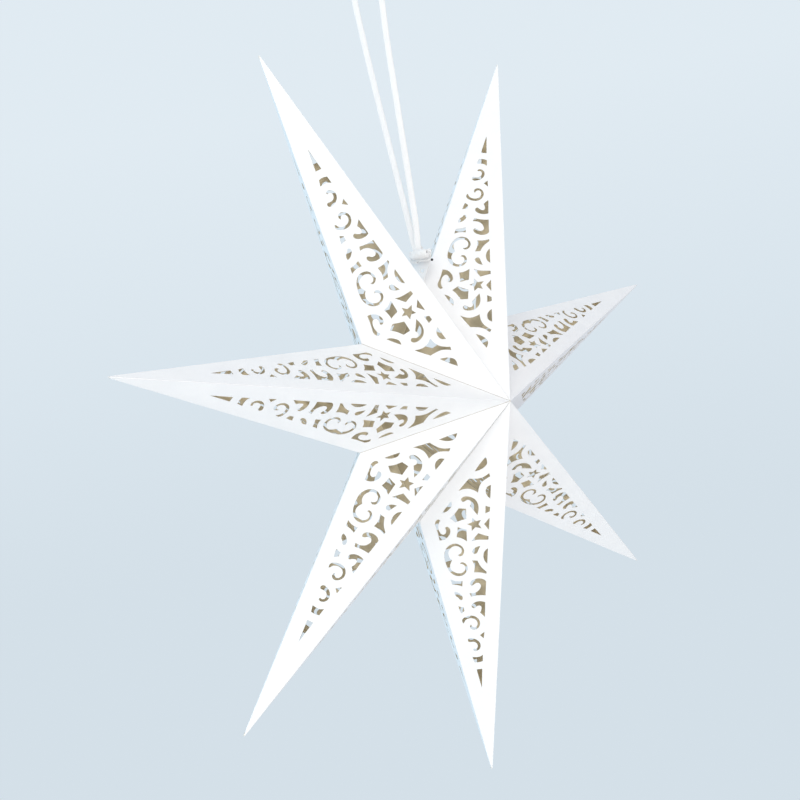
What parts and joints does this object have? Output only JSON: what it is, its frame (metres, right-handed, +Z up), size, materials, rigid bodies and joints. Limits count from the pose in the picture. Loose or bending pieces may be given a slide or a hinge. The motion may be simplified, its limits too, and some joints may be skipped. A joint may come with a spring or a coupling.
{
  "type": "folding paper star",
  "caption": "Pierced white card star lantern that folds flat about its centre line and hangs from its top valley by a braided cord loop.",
  "frame": {"origin": "the seat of the cord loop, where a hook bears; the star's centre is 386.4 mm below it and 13 mm in front of it", "axes": "+Z up along the hanging cord and through the tied top valley, -Y out of the front apex, +X to the right seen from the front"},
  "size_m": [0.5808, 0.1438, 0.6861],
  "materials": {
    "card_white": "matte",
    "cord_white": "matte"
  },
  "bodies": {
    "cord": {"hanging_cord": "cord_white", "cord_knot": "cord_white", "cord_lashing": "cord_white", "cord_tail_right": "cord_white", "cord_tail_left": "cord_white"},
    "p1_front_left": {"point_1_front_left": "card_white", "closing_tab_right": "card_white"},
    "p1_front_right": {"point_1_front_right": "card_white"},
    "p1_back_left": {"point_1_back_left": "card_white"},
    "p1_back_right": {"point_1_back_right": "card_white"},
    "p2_front_left": {"point_2_front_left": "card_white"},
    "p2_front_right": {"point_2_front_right": "card_white"},
    "p2_back_left": {"point_2_back_left": "card_white"},
    "p2_back_right": {"point_2_back_right": "card_white"},
    "p3_front_left": {"point_3_front_left": "card_white"},
    "p3_front_right": {"point_3_front_right": "card_white"},
    "p3_back_left": {"point_3_back_left": "card_white"},
    "p3_back_right": {"point_3_back_right": "card_white"},
    "p4_front_left": {"point_4_front_left": "card_white"},
    "p4_front_right": {"point_4_front_right": "card_white"},
    "p4_back_left": {"point_4_back_left": "card_white"},
    "p4_back_right": {"point_4_back_right": "card_white"},
    "p5_front_left": {"point_5_front_left": "card_white"},
    "p5_front_right": {"point_5_front_right": "card_white"},
    "p5_back_left": {"point_5_back_left": "card_white"},
    "p5_back_right": {"point_5_back_right": "card_white"},
    "p6_front_left": {"point_6_front_left": "card_white"},
    "p6_front_right": {"point_6_front_right": "card_white"},
    "p6_back_left": {"point_6_back_left": "card_white"},
    "p6_back_right": {"point_6_back_right": "card_white"},
    "p7_front_left": {"point_7_front_left": "card_white"},
    "p7_front_right": {"point_7_front_right": "card_white", "closing_tab_left": "card_white"},
    "p7_back_left": {"point_7_back_left": "card_white"},
    "p7_back_right": {"point_7_back_right": "card_white"}
  },
  "joints": [
    {"name": "cord_swing", "type": "hinge", "parent": "cord", "child": "p1_front_left", "pos_m": [0, -0.017, -0.2696], "axis": [1, 0, 0], "range_deg": [-12, 12]},
    {"name": "ridge_fold_1", "type": "hinge", "parent": "p1_front_left", "child": "p1_front_right", "pos_m": [0.06508, -0.0495, -0.25125], "axis": [0.4216, 0.2364, 0.8754], "range_deg": [0, 67.6]},
    {"name": "side_fold_1_left", "type": "hinge", "parent": "p1_front_left", "child": "p1_back_left", "pos_m": [0.06508, -0.013, -0.20475], "axis": [0.5918, 0, 0.8061], "range_deg": [0, 66]},
    {"name": "side_fold_1_right", "type": "hinge", "parent": "p1_front_right", "child": "p1_back_right", "pos_m": [0.10144, -0.013, -0.22226], "axis": [-0.2612, 0, -0.9653], "range_deg": [0, 66]},
    {"name": "seam_fold_1_2", "type": "hinge", "parent": "p1_front_right", "child": "p2_front_left", "pos_m": [0.03661, -0.04991, -0.35721], "axis": [-0.615, -0.6174, -0.4904], "range_deg": [0, 87.5]},
    {"name": "ridge_fold_2", "type": "hinge", "parent": "p2_front_left", "child": "p2_front_right", "pos_m": [0.14624, -0.0495, -0.35302], "axis": [0.9473, 0.2364, 0.2162], "range_deg": [0, 67.7]},
    {"name": "side_fold_2_left", "type": "hinge", "parent": "p2_front_left", "child": "p2_back_left", "pos_m": [0.18259, -0.013, -0.32403], "axis": [0.9992, 0, 0.0399], "range_deg": [0, 66]},
    {"name": "side_fold_2_right", "type": "hinge", "parent": "p2_front_right", "child": "p2_back_right", "pos_m": [0.19157, -0.013, -0.36337], "axis": [-0.9176, 0, -0.3976], "range_deg": [0, 66]},
    {"name": "seam_fold_2_3", "type": "hinge", "parent": "p2_front_right", "child": "p3_front_left", "pos_m": [0.04565, -0.04991, -0.39682], "axis": [-0.7669, -0.6174, 0.175], "range_deg": [0, 87.5]},
    {"name": "ridge_fold_3", "type": "hinge", "parent": "p3_front_left", "child": "p3_front_right", "pos_m": [0.11727, -0.0495, -0.47992], "axis": [0.7597, 0.2364, -0.6058], "range_deg": [0, 67.7]},
    {"name": "side_fold_3_left", "type": "hinge", "parent": "p3_front_left", "child": "p3_back_left", "pos_m": [0.16261, -0.013, -0.49027], "axis": [0.6542, 0, -0.7563], "range_deg": [0, 66]},
    {"name": "side_fold_3_right", "type": "hinge", "parent": "p3_front_right", "child": "p3_back_right", "pos_m": [0.13745, -0.013, -0.52182], "axis": [-0.8829, 0, 0.4695], "range_deg": [0, 66]},
    {"name": "seam_fold_3_4", "type": "hinge", "parent": "p3_front_right", "child": "p4_front_left", "pos_m": [0.02032, -0.04991, -0.42859], "axis": [-0.3413, -0.6174, 0.7087], "range_deg": [0, 87.5]},
    {"name": "ridge_fold_4", "type": "hinge", "parent": "p4_front_left", "child": "p4_front_right", "pos_m": [0, -0.0495, -0.5364], "axis": [0, 0.2364, -0.9716], "range_deg": [0, 67.7]},
    {"name": "side_fold_4_left", "type": "hinge", "parent": "p4_front_left", "child": "p4_back_left", "pos_m": [0.02018, -0.013, -0.5783], "axis": [-0.1835, 0, -0.983], "range_deg": [0, 66]},
    {"name": "side_fold_4_right", "type": "hinge", "parent": "p4_front_right", "child": "p4_back_right", "pos_m": [-0.02018, -0.013, -0.5783], "axis": [-0.1835, 0, 0.983], "range_deg": [0, 66]},
    {"name": "seam_fold_4_5", "type": "hinge", "parent": "p4_front_right", "child": "p5_front_left", "pos_m": [-0.02032, -0.04991, -0.42859], "axis": [0.3413, -0.6174, 0.7087], "range_deg": [0, 87.5]},
    {"name": "ridge_fold_5", "type": "hinge", "parent": "p5_front_left", "child": "p5_front_right", "pos_m": [-0.11727, -0.0495, -0.47992], "axis": [-0.7597, 0.2364, -0.6058], "range_deg": [0, 67.7]},
    {"name": "side_fold_5_left", "type": "hinge", "parent": "p5_front_left", "child": "p5_back_left", "pos_m": [-0.13745, -0.013, -0.52182], "axis": [-0.8829, 0, -0.4695], "range_deg": [0, 66]},
    {"name": "side_fold_5_right", "type": "hinge", "parent": "p5_front_right", "child": "p5_back_right", "pos_m": [-0.16261, -0.013, -0.49027], "axis": [0.6542, 0, 0.7563], "range_deg": [0, 66]},
    {"name": "seam_fold_5_6", "type": "hinge", "parent": "p5_front_right", "child": "p6_front_left", "pos_m": [-0.04565, -0.04991, -0.39682], "axis": [0.7669, -0.6174, 0.175], "range_deg": [0, 87.5]},
    {"name": "ridge_fold_6", "type": "hinge", "parent": "p6_front_left", "child": "p6_front_right", "pos_m": [-0.14624, -0.0495, -0.35302], "axis": [-0.9473, 0.2364, 0.2162], "range_deg": [0, 67.7]},
    {"name": "side_fold_6_left", "type": "hinge", "parent": "p6_front_left", "child": "p6_back_left", "pos_m": [-0.19157, -0.013, -0.36337], "axis": [-0.9176, 0, 0.3976], "range_deg": [0, 66]},
    {"name": "side_fold_6_right", "type": "hinge", "parent": "p6_front_right", "child": "p6_back_right", "pos_m": [-0.18259, -0.013, -0.32403], "axis": [0.9992, 0, -0.0399], "range_deg": [0, 66]},
    {"name": "seam_fold_6_7", "type": "hinge", "parent": "p6_front_right", "child": "p7_front_left", "pos_m": [-0.03661, -0.04991, -0.35721], "axis": [0.615, -0.6174, -0.4904], "range_deg": [0, 87.5]},
    {"name": "ridge_fold_7", "type": "hinge", "parent": "p7_front_left", "child": "p7_front_right", "pos_m": [-0.06508, -0.0495, -0.25125], "axis": [-0.4216, 0.2364, 0.8754], "range_deg": [0, 67.7]},
    {"name": "side_fold_7_left", "type": "hinge", "parent": "p7_front_left", "child": "p7_back_left", "pos_m": [-0.10144, -0.013, -0.22226], "axis": [-0.2612, 0, 0.9653], "range_deg": [0, 66]},
    {"name": "side_fold_7_right", "type": "hinge", "parent": "p7_front_right", "child": "p7_back_right", "pos_m": [-0.06508, -0.013, -0.20475], "axis": [0.5918, 0, -0.8061], "range_deg": [0, 66]}
  ],
  "couplings": [
    {"joint": "side_fold_1_left", "follows": "ridge_fold_1", "ratio": 0.9728},
    {"joint": "side_fold_1_right", "follows": "ridge_fold_1", "ratio": 0.9728},
    {"joint": "seam_fold_1_2", "follows": "ridge_fold_1", "ratio": 1.2914},
    {"joint": "ridge_fold_2", "follows": "ridge_fold_1", "ratio": 1},
    {"joint": "side_fold_2_left", "follows": "ridge_fold_1", "ratio": 0.9728},
    {"joint": "side_fold_2_right", "follows": "ridge_fold_1", "ratio": 0.9728},
    {"joint": "seam_fold_2_3", "follows": "ridge_fold_1", "ratio": 1.2914},
    {"joint": "ridge_fold_3", "follows": "ridge_fold_1", "ratio": 1},
    {"joint": "side_fold_3_left", "follows": "ridge_fold_1", "ratio": 0.9728},
    {"joint": "side_fold_3_right", "follows": "ridge_fold_1", "ratio": 0.9728},
    {"joint": "seam_fold_3_4", "follows": "ridge_fold_1", "ratio": 1.2914},
    {"joint": "ridge_fold_4", "follows": "ridge_fold_1", "ratio": 1},
    {"joint": "side_fold_4_left", "follows": "ridge_fold_1", "ratio": 0.9728},
    {"joint": "side_fold_4_right", "follows": "ridge_fold_1", "ratio": 0.9728},
    {"joint": "seam_fold_4_5", "follows": "ridge_fold_1", "ratio": 1.2914},
    {"joint": "ridge_fold_5", "follows": "ridge_fold_1", "ratio": 1},
    {"joint": "side_fold_5_left", "follows": "ridge_fold_1", "ratio": 0.9728},
    {"joint": "side_fold_5_right", "follows": "ridge_fold_1", "ratio": 0.9728},
    {"joint": "seam_fold_5_6", "follows": "ridge_fold_1", "ratio": 1.2914},
    {"joint": "ridge_fold_6", "follows": "ridge_fold_1", "ratio": 1},
    {"joint": "side_fold_6_left", "follows": "ridge_fold_1", "ratio": 0.9728},
    {"joint": "side_fold_6_right", "follows": "ridge_fold_1", "ratio": 0.9728},
    {"joint": "seam_fold_6_7", "follows": "ridge_fold_1", "ratio": 1.2914},
    {"joint": "ridge_fold_7", "follows": "ridge_fold_1", "ratio": 1},
    {"joint": "side_fold_7_left", "follows": "ridge_fold_1", "ratio": 0.9728},
    {"joint": "side_fold_7_right", "follows": "ridge_fold_1", "ratio": 0.9728}
  ]
}
